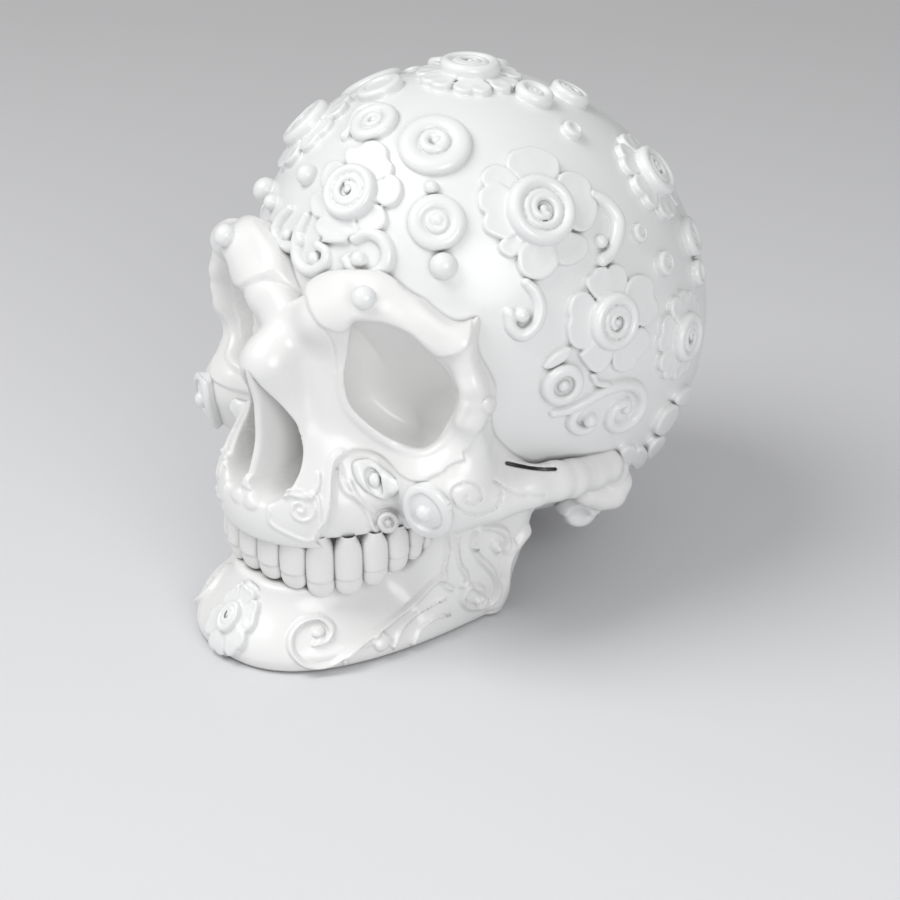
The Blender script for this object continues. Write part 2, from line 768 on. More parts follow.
def face_base(p, shell):
    """Signed distance to the face's mass, before its relief and its openings."""
    bodies = (
        rod_field(p, *NOSE_BODY),
        rod_field(p, *NOSE_SIDE),
        ball_field(p, *MAXILLA),
        shell - PLATE,
        rods_field(p, BROW_LINE, BROW_RADIUS),
        rods_field(p, RIM_LINE, RIM_RADIUS),
        ball_field(p, *CHEEK),
    )
    body = rod_field(p, *NOSE_BRIDGE)
    for other in bodies:
        body = blend_min(body, other, FACE_BLEND)
    return body


# The plate's outline over the egg: degrees round and degrees up, for the left half
FACE_OUTLINE = (
    (0, 16), (4, 19), (8, 22.8), (14.5, 25.4), (21, 26.1), (27, 24.6), (33.4, 19.9), (38, 17.6),
    (41.5, 17.8), (44.6, 19.4), (44.2, 12), (47.2, 5.5), (48.6, 1), (47, -3), (47.8, -8),
    (48.8, -13), (52.5, -19), (57, -24), (62, -30), (58, -38), (44, -46), (30, -52), (14, -56), (0, -57),
)
ANGLE_LOW = (0.0, -62.0)
ANGLE_HIGH = (80.0, 40.0)
ANGLE_STEP = 0.5
MM_PER_DEGREE = 1.31


def plate_map():
    """Distance in millimetres to the plate's outline over the two angles, negative inside it."""
    half = round_curve(FACE_OUTLINE, steps=4)
    whole = np.concatenate((half, half[::-1] * (-1, 1)))
    lon, lat = np.meshgrid(
        *(np.arange(low, high, ANGLE_STEP) for low, high in zip(ANGLE_LOW, ANGLE_HIGH)), indexing="ij"
    )
    return inside_distance(lon, lat, whole) * MM_PER_DEGREE


PLATE_MAP = plate_map()


def face_field(points):
    """Signed distance to the finished face, negative in the clay."""
    p = points.copy()
    p[..., 0] = np.abs(p[..., 0])
    way = p - EGG_CENTRE
    reach = np.linalg.norm(way, axis=-1)
    shell = reach - egg_radius(way / reach[..., None])
    lon, lat = angles(p)
    body = face_base(p, shell)
    # The plate ends in a rounded edge on the egg
    body = blend_max(body, sample_map(PLATE_MAP, lon, lat, ANGLE_LOW, ANGLE_STEP), PLATE_EDGE)
    body = blend_max(body, PALATE - p[..., 2], PALATE_EDGE)
    arch = rods_field(p, ARCH_LINE, ARCH_RADII)
    arch = blend_min(arch, rods_field(p, ROLL_LINE, ROLL_RADIUS), ROLL_BLEND)
    body = blend_min(body, arch, ARCH_BLEND) - face_relief.at(p)
    body = blend_max(body, -openings(p, shell), OPENING_EDGE)
    # Within the egg only a wall round the openings is left
    return np.maximum(body, -np.maximum(shell + 1.0, body + CUP_WALL))


FACE_NODES = ("face_plate", "cheek_arch_left", "cheek_arch_right")
FACE_STEP = 0.5
FACE_LOW = (FACE_STEP / 2, -110.0, 30.0)
FACE_HIGH = (76.0, 14.0, 134.0)


def face_piece():
    """The face with both cheek arches, from its left half and the mirror image of that."""
    half = grid_field(FACE_LOW, FACE_HIGH, FACE_STEP, face_field)
    whole = np.concatenate((half[::-1], half), 0)
    low = np.array((FACE_STEP / 2 - half.shape[0] * FACE_STEP, *FACE_LOW[1:]))
    points, faces = surface_of(whole, low, FACE_STEP)
    return mesh_piece("face", points, faces, FACE_NODES)


REACH_ON_FACE = 18.0
STEP_ON_FACE = 0.75
LIMIT_ON_FACE = 5.0
CAMERA_TO_FACE = 740.0


class FacePlace:
    """A place on the face, where the ray of a pixel first meets it."""

    def __init__(self, view, point):
        self.spot = self.hits(seen(view, [point]))[0]
        step = np.eye(3) * 1.5
        slope = face_field(self.spot + step) - face_field(self.spot - step)
        self.normal = slope / np.linalg.norm(slope)
        side = CAMERA_RIGHT - self.normal * (CAMERA_RIGHT @ self.normal)
        self.across = side / np.linalg.norm(side)
        self.above = np.cross(self.normal, self.across)
        # The face's height over the tangent plane, worked out once over a small grid
        axis = np.arange(-REACH_ON_FACE, REACH_ON_FACE + STEP_ON_FACE, STEP_ON_FACE)
        u, v = np.meshgrid(axis, axis, indexing="ij")
        flat = self.spot + u[..., None] * self.across + v[..., None] * self.above
        self.rise = np.zeros(u.shape)
        for _ in range(8):
            self.rise -= 0.8 * face_field(flat + self.normal * self.rise[..., None])
            self.rise = np.clip(self.rise, -LIMIT_ON_FACE, LIMIT_ON_FACE)

    def hits(self, pixels):
        """Where the rays of pixels first meet the face, found by walking along them."""
        ray = pixel_ray(pixels)
        places = CAMERA_PLACE + ray * CAMERA_TO_FACE
        for _ in range(50):
            places = places + ray * np.clip(face_field(places), -2.0, 8.0)[..., None] * 0.7
        return places

    def surface(self, u, v):
        """Points of the face so far across and above the place."""
        low = (-REACH_ON_FACE, -REACH_ON_FACE)
        rise = sample_map(self.rise, u, v, low, STEP_ON_FACE)[..., None]
        return self.spot + u[..., None] * self.across + v[..., None] * self.above + rise * self.normal

    def local(self, view, points, lift=2.0):
        """Distances across and above at which outlines of the photograph lie, on a plane."""
        ray = pixel_ray(seen(view, points))
        reach = (self.spot - CAMERA_PLACE) @ self.normal + lift
        away = CAMERA_PLACE + ray * (reach / (ray @ self.normal))[:, None] - self.spot
        return np.stack((away @ self.across, away @ self.above), -1)


# What is modelled in the face's own clay, in pixels of the enlarged views. A window is the part of
# the photograph that a map covers, and a fade is where across it a form ends.
FACE_WINDOW = ((230, 240), (660, 620))
BROW_PAD_FADE = (425, 500)
LOWER_LAYER_FADE = (450, 515)
BROW_PAD = (
    (650, -60), (660, 0), (680, 60), (730, 130), (800, 165), (850, 170), (890, 140), (950, 116),
    (1040, 118), (1130, 145), (1220, 195), (1330, 300), (1500, 250), (1500, 60), (1215, -30),
    (1100, -130), (1000, -160), (700, -150),
)
NASAL_CREASE = ((735, 140), (775, 190), (800, 240), (808, 300), (812, 370))
LOWER_LAYER = (
    (316, 543), (327, 522), (331, 506), (332, 491), (333, 476), (339, 461), (348, 453), (356, 450),
    (371, 451), (383, 457), (393, 467), (400, 475), (412, 481), (424, 481), (431, 477), (441, 473),
    (447, 467), (457, 462), (464, 460), (463, 452), (469, 449), (474, 439), (482, 429), (491, 421),
    (520, 440), (520, 560), (420, 570), (372, 560),
)
RECESS = (
    (850, 140), (838, 300), (828, 430), (800, 520), (745, 590), (900, 640), (1080, 640), (1250, 600),
    (1235, 500), (1180, 400), (1050, 390), (960, 330), (900, 260), (880, 180),
)
PILLAR = ((880, 70), (835, 110), (815, 200), (812, 300), (805, 400), (790, 480), (760, 530), (725, 575))
PANEL = (
    (465, 370), (455, 450), (480, 500), (560, 545), (640, 580), (700, 590), (740, 560), (755, 500),
    (750, 400), (735, 330), (690, 345), (640, 340), (560, 322),
)
PANEL_SPIRAL = (
    (545, 330), (560, 292), (620, 290), (680, 315), (720, 370), (715, 440), (670, 470), (620, 460),
    (592, 420), (600, 378), (640, 365), (662, 395), (650, 425), (632, 415),
)
NOSE_LIP = ((745, 200), (740, 270), (705, 318), (640, 325), (570, 300), (520, 240), (480, 205), (430, 215))
STEMS = (
    ((870, 150), (872, 230), (905, 300), (955, 335), (1000, 380), (1040, 440), (1058, 500), (1090, 545)),
    ((925, 250), (960, 320), (1010, 370), (1070, 415)),
)
CURL_MIDDLE = (1150, 480)
SPINE_BEADS = (((350, 250), 45), ((450, 285), 35))
SPINE_ALMOND = (355, 360)
SLIT = ((520, 340), (620, 362), (720, 380), (820, 388), (905, 387))
ARCH_GROOVE = ((820, 595), (650, 590), (560, 560), (480, 520), (420, 480))
ARCH_LOOP = (
    (480, 560), (470, 640), (420, 700), (330, 740), (250, 745), (170, 720), (110, 670), (90, 600),
    (110, 540), (180, 500), (260, 505), (320, 550), (325, 610), (290, 650), (240, 660), (200, 640),
    (210, 600),
)
TEMPLE_BEAD = (490, 406)
CUP_RIM = (
    (1495, 560), (1440, 660), (1370, 740), (1295, 790), (1230, 795), (1140, 772), (1040, 720), (940, 640),
    (875, 565), (845, 480), (838, 380),
)


def face_relief_map():
    """The relief of the face: heights and widths are in millimetres and the photograph's pixels."""
    relief = PixelMap(*FACE_WINDOW)
    relief.area(FACE_VIEW, BROW_PAD, 1.7, 1.2, BROW_PAD_FADE)
    relief.stroke(FACE_VIEW, NASAL_CREASE, 2.2, -0.5, 2.0)
    relief.stroke(FACE_VIEW, CUP_RIM, 7.0, 0.6, 2.0)
    relief.area(WHOLE_VIEW, LOWER_LAYER, -1.0, 0.9, LOWER_LAYER_FADE)
    relief.area(MOUTH_VIEW, RECESS, -1.6, 5.0)
    relief.stroke(MOUTH_VIEW, PILLAR, 5.0, 0.6, 1.5)
    relief.stroke(MOUTH_VIEW, PANEL, 2.4, 0.7, 0.8, True)
    relief.stroke(MOUTH_VIEW, PANEL_SPIRAL, 2.4, 0.8)
    relief.stroke(MOUTH_VIEW, NOSE_LIP, 3.2, 0.9)
    for stem in STEMS:
        relief.stroke(MOUTH_VIEW, stem, 3.0, 1.1)
    relief.dome(MOUTH_VIEW, CURL_MIDDLE, 72, 1.2)
    relief.stroke(MOUTH_VIEW, np.add(CURL_MIDDLE, circle(48.0, steps=13)[:-1]), 3.2, 1.5, 0.6, True)
    relief.dome(MOUTH_VIEW, CURL_MIDDLE, 24, 1.6)
    for middle, radius in SPINE_BEADS:
        relief.dome(MOUTH_VIEW, middle, radius, 1.6)
        relief.dome(MOUTH_VIEW, middle, 0.5 * radius, 0.5)
    relief.dome(MOUTH_VIEW, SPINE_ALMOND, 48, 1.0)
    relief.stroke(CHEEK_VIEW, SLIT, 1.8, -3.5, 1.0)
    relief.stroke(CHEEK_VIEW, ARCH_GROOVE, 2.0, -0.8, 1.5)
    relief.stroke(CHEEK_VIEW, ARCH_LOOP, 2.2, -0.8, 1.5)
    relief.dome(WHOLE_VIEW, TEMPLE_BEAD, 9, 1.8)
    return relief


face_relief = face_relief_map()


# Mandible


JAW_HALF_WIDTH = 42.0
JAW_REAR = 30.0
JAW_LENGTH = 86.5
JAW_POWER = 2 / 2.5
JAW_THICKNESS = 14.0
CHIN_HEIGHT = 24.5
GUM_SET_IN = 12.5
RAMUS_THICKNESS = 9.0
RAMUS_HEIGHT = 58.0
RAMUS_REAR_HEIGHT = 48.0
RAMUS_FLARE = 10.0
RAMUS_LEAN = 11.0
# Where along the jaw, from the chin's 0 to the gonion's 1, one form turns into the next
BODY_SHARES = (0.6, 0.8)
RISE_SHARES = (0.66, 0.82)
LEAN_SHARES = (0.66, 0.95)
END_SHARE = 0.07
# Where up the jaw's front, from 0 to 1, it goes back to the gum
FRONT_SHARES = (0.14, 0.92)
JAW_ROWS = 641
JAW_RING = 220


def jaw_curve():
    """The jaw's lower border: places, how far along each is from -1 to 1, and half the length."""
    turn = (np.linspace(0, 1, 801) - 0.5) * math.pi
    x = np.sign(turn) * JAW_HALF_WIDTH * np.abs(np.sin(turn)) ** JAW_POWER
    y = -JAW_REAR - JAW_LENGTH * np.abs(np.cos(turn)) ** JAW_POWER
    line = np.stack((x, y), -1)
    run = run_lengths(line)
    return line, 2 * run / run[-1] - 1, run[-1] / 2


JAW_LINE, JAW_SHARES, JAW_REACH = jaw_curve()


def place_on(line, runs, at):
    """The place at a distance along a flat line."""
    return np.stack([np.interp(at, runs, line[:, k]) for k in (0, 1)], -1)


def jaw_point(along, outward, height):
    """A point by the jaw's outside; along is -1 to 1 from gonion to gonion."""
    spot = place_on(JAW_LINE, JAW_SHARES, along)
    tangent = place_on(JAW_LINE, JAW_SHARES, along + 0.01) - place_on(JAW_LINE, JAW_SHARES, along - 0.01)
    tangent /= np.linalg.norm(tangent, axis=-1, keepdims=True)
    ramus = smooth_step(*LEAN_SHARES, np.abs(along))
    lift = np.clip(height / RAMUS_HEIGHT, 0, 1)
    flare = np.sign(along) * ramus * RAMUS_FLARE * np.sin(lift * math.pi / 2)
    x = spot[..., 0] + tangent[..., 1] * outward + flare
    y = spot[..., 1] - tangent[..., 0] * outward + ramus * RAMUS_LEAN * lift
    return np.stack((x, y, height + 0 * x), -1)


def jaw_top(along):
    """The height of the jaw's upper border."""
    back = np.abs(along)
    rise = (RAMUS_HEIGHT - CHIN_HEIGHT) * smooth_step(*RISE_SHARES, back)
    fall = (RAMUS_HEIGHT - RAMUS_REAR_HEIGHT) * smooth_step(RISE_SHARES[1], 1, back)
    return CHIN_HEIGHT + rise - fall


def jaw_outward(along, share):
    """How far the front stands out at a share of the height."""
    set_in = GUM_SET_IN * (1 - smooth_step(*BODY_SHARES, np.abs(along)))
    return -set_in * smooth_step(*FRONT_SHARES, share)


JAW_NODES = ("mandible", "ramus_scroll_left", "ramus_scroll_right", "chin_scroll_left", "chin_scroll_right")


def even_section(ring, power=0.35, slenderness=2.6):
    """Places round a soft-cornered section in even steps; it is so many times as high as thick."""
    angle = np.linspace(-math.pi / 2, 1.5 * math.pi, 8001)
    side = np.sign(np.cos(angle)) * np.abs(np.cos(angle)) ** power
    rise = np.sign(np.sin(angle)) * np.abs(np.sin(angle)) ** power
    run = run_lengths(np.stack((side, slenderness * rise), -1))
    return np.interp(ring * run[-1], run, side), np.interp(ring * run[-1], run, rise)


def jaw_piece():
    """The mandible: soft-cornered sections that follow its lower border."""
    rows = np.linspace(-1, 1, JAW_ROWS)
    thick = JAW_THICKNESS + (RAMUS_THICKNESS - JAW_THICKNESS) * smooth_step(*BODY_SHARES, np.abs(rows))
    thick = thick[:, None]
    along = np.repeat(rows[:, None], JAW_RING, 1)
    # Each section goes up the front, over the top and down the back
    side, rise = even_section(np.linspace(0, 1, JAW_RING, endpoint=False))
    share = (1 + rise) / 2 + 0 * along
    # The jaw thins to a narrow edge at both ends
    near_end = np.clip((np.abs(along) - 1 + END_SHARE) / END_SHARE, 0, 1)
    end = np.sqrt(np.clip(1 - near_end**2, 0.02, 1))
    outward = thick * ((side - 1) / 2) * end - thick * (1 - end) / 2
    front = smooth_step(-0.6, 0.6, side)
    outward = outward + jaw_outward(along, share) * (front + (1 - front) * share)
    height = share * jaw_top(along)
    points = jaw_point(along, outward, height)
    for _ in range(2):
        points = jaw_point(along, outward + jaw_relief.at(points) * front, height)
    faces = sheet_faces(JAW_ROWS, JAW_RING, True)
    return mesh_piece("mandible_body", points.reshape(-1, 3), faces, JAW_NODES)


# What is modelled in the jaw's own clay, in pixels of the enlarged views
JAW_WINDOW = ((180, 520), (580, 710))
CHIN_FLOWER_HEIGHT = 12.2
CHIN_SCROLL = (
    (1480, 790), (1400, 850), (1300, 950), (1190, 1040), (1090, 1120), (990, 1190), (900, 1260),
    (820, 1310), (720, 1325), (640, 1295), (585, 1220), (590, 1130), (650, 1060), (740, 1035),
    (810, 1070), (825, 1120), (790, 1170), (730, 1190),
)
CHIN_EYE = (745, 1118)
LEAF_STROKES = (
    ((1190, 1200), (1230, 1100), (1310, 1020), (1410, 960), (1480, 930)),
    ((1300, 1180), (1350, 1090), (1430, 1040), (1510, 1020)),
)
LEAF_BEAD = (1120, 1180)
SPRIG = ((905, 1300), (930, 1260), (1000, 1215), (1060, 1180))
RAMUS_BAND = (
    (270, 1000), (265, 940), (310, 880), (390, 850), (470, 860), (530, 900), (545, 960), (515, 1010),
    (460, 1030),
)
RAMUS_EYE = (440, 985)
RAMUS_STEM = (
    (270, 1000), (320, 1090), (390, 1160), (440, 1230), (460, 1310), (440, 1400), (380, 1460), (300, 1480),
    (220, 1460), (180, 1400), (210, 1335), (280, 1315), (335, 1345), (345, 1400), (300, 1430),
)
FORK_FEET = (
    ((60, 940), (70, 1020), (50, 1120), (30, 1200), (40, 1290), (100, 1330)),
    ((140, 950), (150, 1050), (170, 1150), (215, 1220), (220, 1275), (170, 1300)),
)
REAR_RIDGE = (
    (830, 760), (740, 850), (650, 950), (575, 1050), (540, 1160), (530, 1290), (510, 1410), (450, 1510),
    (380, 1590),
)


def jaw_relief_map():
    """The relief of the jaw's outside."""
    relief = PixelMap(*JAW_WINDOW)
    relief.stroke(MOUTH_VIEW, CHIN_SCROLL, 4.6, 2.2)
    relief.dome(MOUTH_VIEW, CHIN_EYE, 42, 2.2)
    for leaf in LEAF_STROKES:
        relief.stroke(MOUTH_VIEW, leaf, 3.8, 1.7, taper=0.4)
    relief.dome(MOUTH_VIEW, LEAF_BEAD, 58, 2.4)
    relief.stroke(MOUTH_VIEW, SPRIG, 3.0, 1.0)
    relief.stroke(CHEEK_VIEW, RAMUS_BAND, 4.4, 2.2)
    relief.dome(CHEEK_VIEW, RAMUS_EYE, 48, 1.8)
    relief.stroke(CHEEK_VIEW, RAMUS_STEM, 4.2, 2.2)
    for foot in FORK_FEET:
        relief.stroke(CHEEK_VIEW, foot, 3.0, 1.6)
    relief.stroke(CHEEK_VIEW, REAR_RIDGE, 8.0, 2.2, 1.2)
    return relief


jaw_relief = jaw_relief_map()


def chin_surface(u, v):
    """Points of the jaw's front so far across and above the chin flower's middle."""
    along = np.clip(u / JAW_REACH, -0.999, 0.999)
    level = CHIN_FLOWER_HEIGHT + v
    return jaw_point(along, jaw_outward(along, np.clip(level / jaw_top(along), 0, 1)), level)


# Cranium


CRANIUM_WALL = 2.4
CRANIUM_ROWS = 241
CRANIUM_COLUMNS = 360
# The sockets and the nose lie this far before the egg's centre, or farther
OPENINGS_AHEAD = 25.0
SOCKET_OVERLAP = 1.0
BASE_HOLE = (0.0, 12.0)
BASE_RADIUS = 21.0


def cranium_piece():
    """The egg and its inner skin, open at the sockets, at the nose and at the base."""
    lat = np.linspace(-88, 90, CRANIUM_ROWS)
    lon = np.linspace(0, 360, CRANIUM_COLUMNS, endpoint=False)
    lat, lon = np.meshgrid(lat, lon, indexing="ij")
    way = direction(lon, lat)
    outer = (EGG_CENTRE + way * egg_radius(way)[..., None]).reshape(-1, 3)
    inner = (EGG_CENTRE + way * (egg_radius(way) - CRANIUM_WALL)[..., None]).reshape(-1, 3)
    faces = sheet_faces(CRANIUM_ROWS, CRANIUM_COLUMNS, True)
    middle = outer[faces].mean(1)
    front = middle[:, 1] < EGG_CENTRE[1] - OPENINGS_AHEAD
    socket = front & (socket_gap.at(middle) < SOCKET_OVERLAP)
    nose = front & (nose_gap(middle) < 0.0)
    base = np.hypot(middle[:, 0] - BASE_HOLE[0], middle[:, 1] - BASE_HOLE[1]) < BASE_RADIUS
    kept = faces[~(socket | nose | (base & (middle[:, 2] < EGG_CENTRE[2])))]
    points, faces = joined([(outer, kept), (inner, kept[:, ::-1])])
    return mesh_piece("cranium", points, faces, ("cranium_shell",))


# Teeth: middles along the arch in millimetres from the middle of the mouth
TOOTH_MIDDLES = (5.1, 15.1, 24.9, 34.7, 44.3, 53.2, 60.6, 66.4)
TOOTH_WIDTHS = (10.3, 9.9, 9.7, 9.7, 9.4, 8.6, 6.6, 5.4)
TOOTH_BITES = (30.2, 29.5, 27.8, 28.6, 30.5, 33.2, 35.2, 36.4)
TOOTH_ROOT = 45.0
TOOTH_ARCH_HALF_WIDTH = 33.1
TOOTH_ARCH_LENGTH = 41.3
TOOTH_ARCH_BACK = -56.8
TOOTH_ARCH_POWER = 2 / 2.4
TOOTH_ROW_REACH = 68.0
TOOTH_ROWS = 28
TOOTH_RING = 32
TOOTH_ROUNDNESS = 0.85
UPPER_DEPTH = 8.6
LOWER_DEPTH = 8.0
LOWER_SET_IN = 0.4
LOWER_OVERLAP = 1.0
BULLET = 5.8


def tooth_arch(inset):
    """Half of the arch on which the teeth stand, and the distance along it to each place."""
    turn = np.linspace(0, math.pi / 2, 400)
    x = (TOOTH_ARCH_HALF_WIDTH - inset) * np.sin(turn) ** TOOTH_ARCH_POWER
    y = TOOTH_ARCH_BACK - (TOOTH_ARCH_LENGTH - inset) * np.cos(turn) ** TOOTH_ARCH_POWER
    line = np.stack((x, y), -1)
    return line, run_lengths(line)


def tooth_mesh(reach, width, low, high, profile, deep, inset):
    """One tooth: rounded sections whose width follows a profile from its edge to its root."""
    line, runs = tooth_arch(inset)
    at = reach / TOOTH_ROW_REACH * runs[-1]
    spot = place_on(line, runs, at)
    ahead = place_on(line, runs, at + 0.5) - place_on(line, runs, at - 0.5)
    ahead /= np.linalg.norm(ahead)
    out = np.array((ahead[1], -ahead[0]))
    share = np.linspace(0, 1, TOOTH_ROWS)
    half, depth = profile(share)
    angle = np.linspace(0, 2 * math.pi, TOOTH_RING, endpoint=False)
    across = np.sign(np.cos(angle)) * np.abs(np.cos(angle)) ** TOOTH_ROUNDNESS
    outward = np.sign(np.sin(angle)) * np.abs(np.sin(angle)) ** TOOTH_ROUNDNESS
    u = (half * width / 2)[:, None] * across
    w = (depth * deep / 2)[:, None] * outward
    points = np.empty((TOOTH_ROWS, TOOTH_RING, 3))
    points[..., :2] = spot + u[..., None] * ahead + w[..., None] * out
    points[..., 2] = (low + (high - low) * share)[:, None]
    return points.reshape(-1, 3), sheet_faces(TOOTH_ROWS, TOOTH_RING, True)


def upper_profile(share):
    """A barrel's breadth and depth, from its edge to its neck."""
    edge = np.sqrt(np.clip(1 - (1 - np.clip(share / 0.10, 0, 1)) ** 2, 0.0, 1))
    body = 0.93 + 0.07 * np.sin(np.pi * np.clip(share / 0.75, 0, 1))
    neck = 1 - 0.45 * smooth_step(0.55, 1.0, share) ** 1.5
    return (0.72 + 0.28 * edge) * body * neck, (0.6 + 0.4 * edge) * (1 - 0.15 * share)


def lower_profile(share):
    """A bullet's breadth and depth, from its tip up."""
    tip = np.sqrt(np.clip(1 - (1 - np.clip(share / 0.75, 0, 1)) ** 2, 0.0, 1))
    return 0.12 + 0.85 * tip, 0.2 + 0.75 * tip


def mirror(points, faces):
    """A mesh on the other side of the skull."""
    return points * (-1, 1, 1), faces[:, ::-1]


def joined(parts):
    """Several meshes as one, quads with quads."""
    points, faces, start = [], [], 0
    for some_points, some_faces in parts:
        points.append(some_points)
        faces.append(some_faces + start)
        start += len(some_points)
    return np.concatenate(points), np.concatenate(faces)


def teeth_piece(name, node, ends, profile, deep, inset):
    """A row of teeth; ends gives a tooth's lower and upper end from the height of its bite."""
    parts = []
    for middle, width, bite in zip(TOOTH_MIDDLES, TOOTH_WIDTHS, TOOTH_BITES):
        tooth = tooth_mesh(middle, width, *ends(bite), profile, deep, inset)
        parts += [tooth, mirror(*tooth)]
    return mesh_piece(name, *joined(parts), (node,))


# Materials


def new_node(tree, kind, values=(), **settings):
    """A shader node with its settings and the values of its inputs."""
    node = tree.nodes.new(f"ShaderNode{kind}")
    for name, setting in settings.items():
        setattr(node, name, setting)
    for name, value in dict(values).items():
        node.inputs[name].default_value = value
    return node


def mixed(tree, share, low, high):
    """A colour between two, each a plain colour or another node's."""
    mix = new_node(tree, "Mix", data_type="RGBA")
    tree.links.new(share, mix.inputs["Factor"])
    for name, colour in (("A", low), ("B", high)):
        if isinstance(colour, tuple):
            mix.inputs[name].default_value = (*colour, 1)
        else:
            tree.links.new(colour, mix.inputs[name])
    return mix.outputs["Result"]


def crease_share(tree, reach):
    """0 deep in a crease, and 1 out in the open."""
    crease = new_node(tree, "AmbientOcclusion", {"Distance": reach}, samples=8)
    curve = new_node(tree, "MapRange", {"From Min": 0.15, "From Max": 0.75})
    tree.links.new(crease.outputs["AO"], curve.inputs["Value"])
    return curve.outputs["Result"]


def below(tree, value, limit):
    """1 where a value is less than a limit, and 0 elsewhere."""
    test = new_node(tree, "Math", {1: limit}, operation="LESS_THAN")
    tree.links.new(value, test.inputs[0])
    return test.outputs["Value"]


def speck_share(tree, place):
    """1 in a few tiny pinholes of the glaze, and 0 elsewhere."""
    specks = new_node(tree, "TexVoronoi", {"Scale": 95})
    tree.links.new(place, specks.inputs["Vector"])
    chosen = new_node(tree, "SeparateColor")
    tree.links.new(specks.outputs["Color"], chosen.inputs["Color"])
    both = new_node(tree, "Math", operation="MULTIPLY")
    tree.links.new(below(tree, specks.outputs["Distance"], 0.055), both.inputs[0])
    tree.links.new(below(tree, chosen.outputs["Red"], 0.02), both.inputs[1])
    return both.outputs["Value"]


def ripple_normal(tree, place):
    """The slight unevenness of a poured glaze."""
    ripple = new_node(tree, "TexNoise", {"Scale": 60})
    tree.links.new(place, ripple.inputs["Vector"])
    bump = new_node(tree, "Bump", {"Strength": 0.06, "Distance": 0.001})
    tree.links.new(ripple.outputs["Fac"], bump.inputs["Height"])
    return bump.outputs["Normal"]


SPECK_COLOUR = (0.08, 0.07, 0.06)


def glaze_material(name, colour, tint, props):
    """A glaze with soft clouds of a second tone, grey creases and a few pinholes."""
    material = bpy.data.materials.new(name)
    material.use_nodes = True
    tree = material.node_tree
    shader = tree.nodes["Principled BSDF"]
    place = new_node(tree, "TexCoord").outputs["Object"]
    cloud = new_node(tree, "TexNoise", {"Scale": 14, "Detail": 3})
    tree.links.new(place, cloud.inputs["Vector"])
    wash = mixed(tree, cloud.outputs["Fac"], colour, tint)
    lined = mixed(tree, crease_share(tree, props.crease_reach), tuple(props.crease_colour), wash)
    specked = mixed(tree, speck_share(tree, place), lined, SPECK_COLOUR)
    tree.links.new(specked, shader.inputs["Base Color"])
    tree.links.new(ripple_normal(tree, place), shader.inputs["Normal"])
    shader.inputs["Roughness"].default_value = props.roughness
    shader.inputs["Coat Weight"].default_value = 0.3
    shader.inputs["Coat Roughness"].default_value = 0.12
    return material


GLAZES = {}


def glaze(kind):
    """The glaze of a kind, made once: white, warm or tooth."""
    if kind not in GLAZES:
        props = bpy.context.scene.sugar_skull_glaze
        colours = {
            "white": (props.white, props.shade),
            "warm": (props.warm, props.shade),
            "tooth": (props.tooth, props.shade),
        }
        GLAZES[kind] = glaze_material(f"glaze_{kind}", *map(tuple, colours[kind]), props)
    return GLAZES[kind]


def finish_piece(piece, kind):
    """Gives a piece its glaze and names the record's slot for it."""
    piece.data.materials.clear()
    piece.data.materials.append(glaze(kind))


def place(name, clay, surface, replaced=(), twin=None, twin_replaced=(), fillet=1.3):
    """Makes a relief on its surface and, where asked, its mirror image on the other side."""
    points, faces = clay.mesh(surface, fillet)
    piece = mesh_piece(name, points, faces, replaced)
    finish_piece(piece, "white")
    if twin:
        other = mesh_piece(twin, *mirror(points, faces), twin_replaced)
        finish_piece(other, "white")


def place_pair(name, clay, surface, nodes=(), fillet=1.3):
    """Makes a relief on the left and its mirror image on the right."""
    left = [f"{node}_left" for node in nodes]
    right = [f"{node}_right" for node in nodes]
    place(f"{name}_left", clay, surface, left, f"{name}_right", right, fillet)


DIMPLE_WAY = (0.62, -0.55, -0.05)
KNOB_STEP = 0.4


def knob_piece():
    """The rounded knobs behind the jaw, each with a dimple that faces out and forward."""
    low, high = (np.array(corner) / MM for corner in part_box("mastoid_knob_left"))
    radius = (high[0] - low[0]) / 2
    middle = np.array(((low[0] + high[0]) / 2, (low[1] + high[1]) / 2 - BACK, low[2] + radius))
    top = middle + (0.0, 0.0, high[2] - low[2] - 2 * radius)
    dimple = middle + radius * 1.25 * np.array(DIMPLE_WAY)

    def shape(p):
        body = rod_field(p, middle, top, radius, radius * 0.8)
        return blend_max(body, 0.5 * radius - np.linalg.norm(p - dimple, axis=-1), 2.0)

    corner = middle - radius - 1
    left = surface_of(grid_field(corner, top + radius + 1, KNOB_STEP, shape), corner, KNOB_STEP)
    for side, (points, faces) in (("left", left), ("right", mirror(*left))):
        name = f"mastoid_knob_{side}"
        finish_piece(mesh_piece(f"{name}_form", points, faces, (name,)), "white")


class SkullGlaze(bpy.types.PropertyGroup):
    white: bpy.props.FloatVectorProperty(
        name="White", description="Glaze over the cranium", subtype="COLOR", default=(0.80, 0.81, 0.81)
    )
    warm: bpy.props.FloatVectorProperty(
        name="Warm white", description="Glaze over face and jaw", subtype="COLOR", default=(0.82, 0.815, 0.80)
    )
    tooth: bpy.props.FloatVectorProperty(
        name="Tooth", description="Glaze over the teeth", subtype="COLOR", default=(0.80, 0.79, 0.77)
    )
    shade: bpy.props.FloatVectorProperty(
        name="Shade", description="Thicker glaze, in clouds", subtype="COLOR", default=(0.77, 0.775, 0.775)
    )
    crease_colour: bpy.props.FloatVectorProperty(
        name="Crease", description="Colour in the creases", subtype="COLOR", default=(0.36, 0.355, 0.35)
    )
    crease_reach: bpy.props.FloatProperty(
        name="Crease reach", description="How far a crease darkens", subtype="DISTANCE", default=0.0022
    )
    roughness: bpy.props.FloatProperty(
        name="Roughness", description="Roughness of the glaze", default=0.3, min=0, max=1
    )


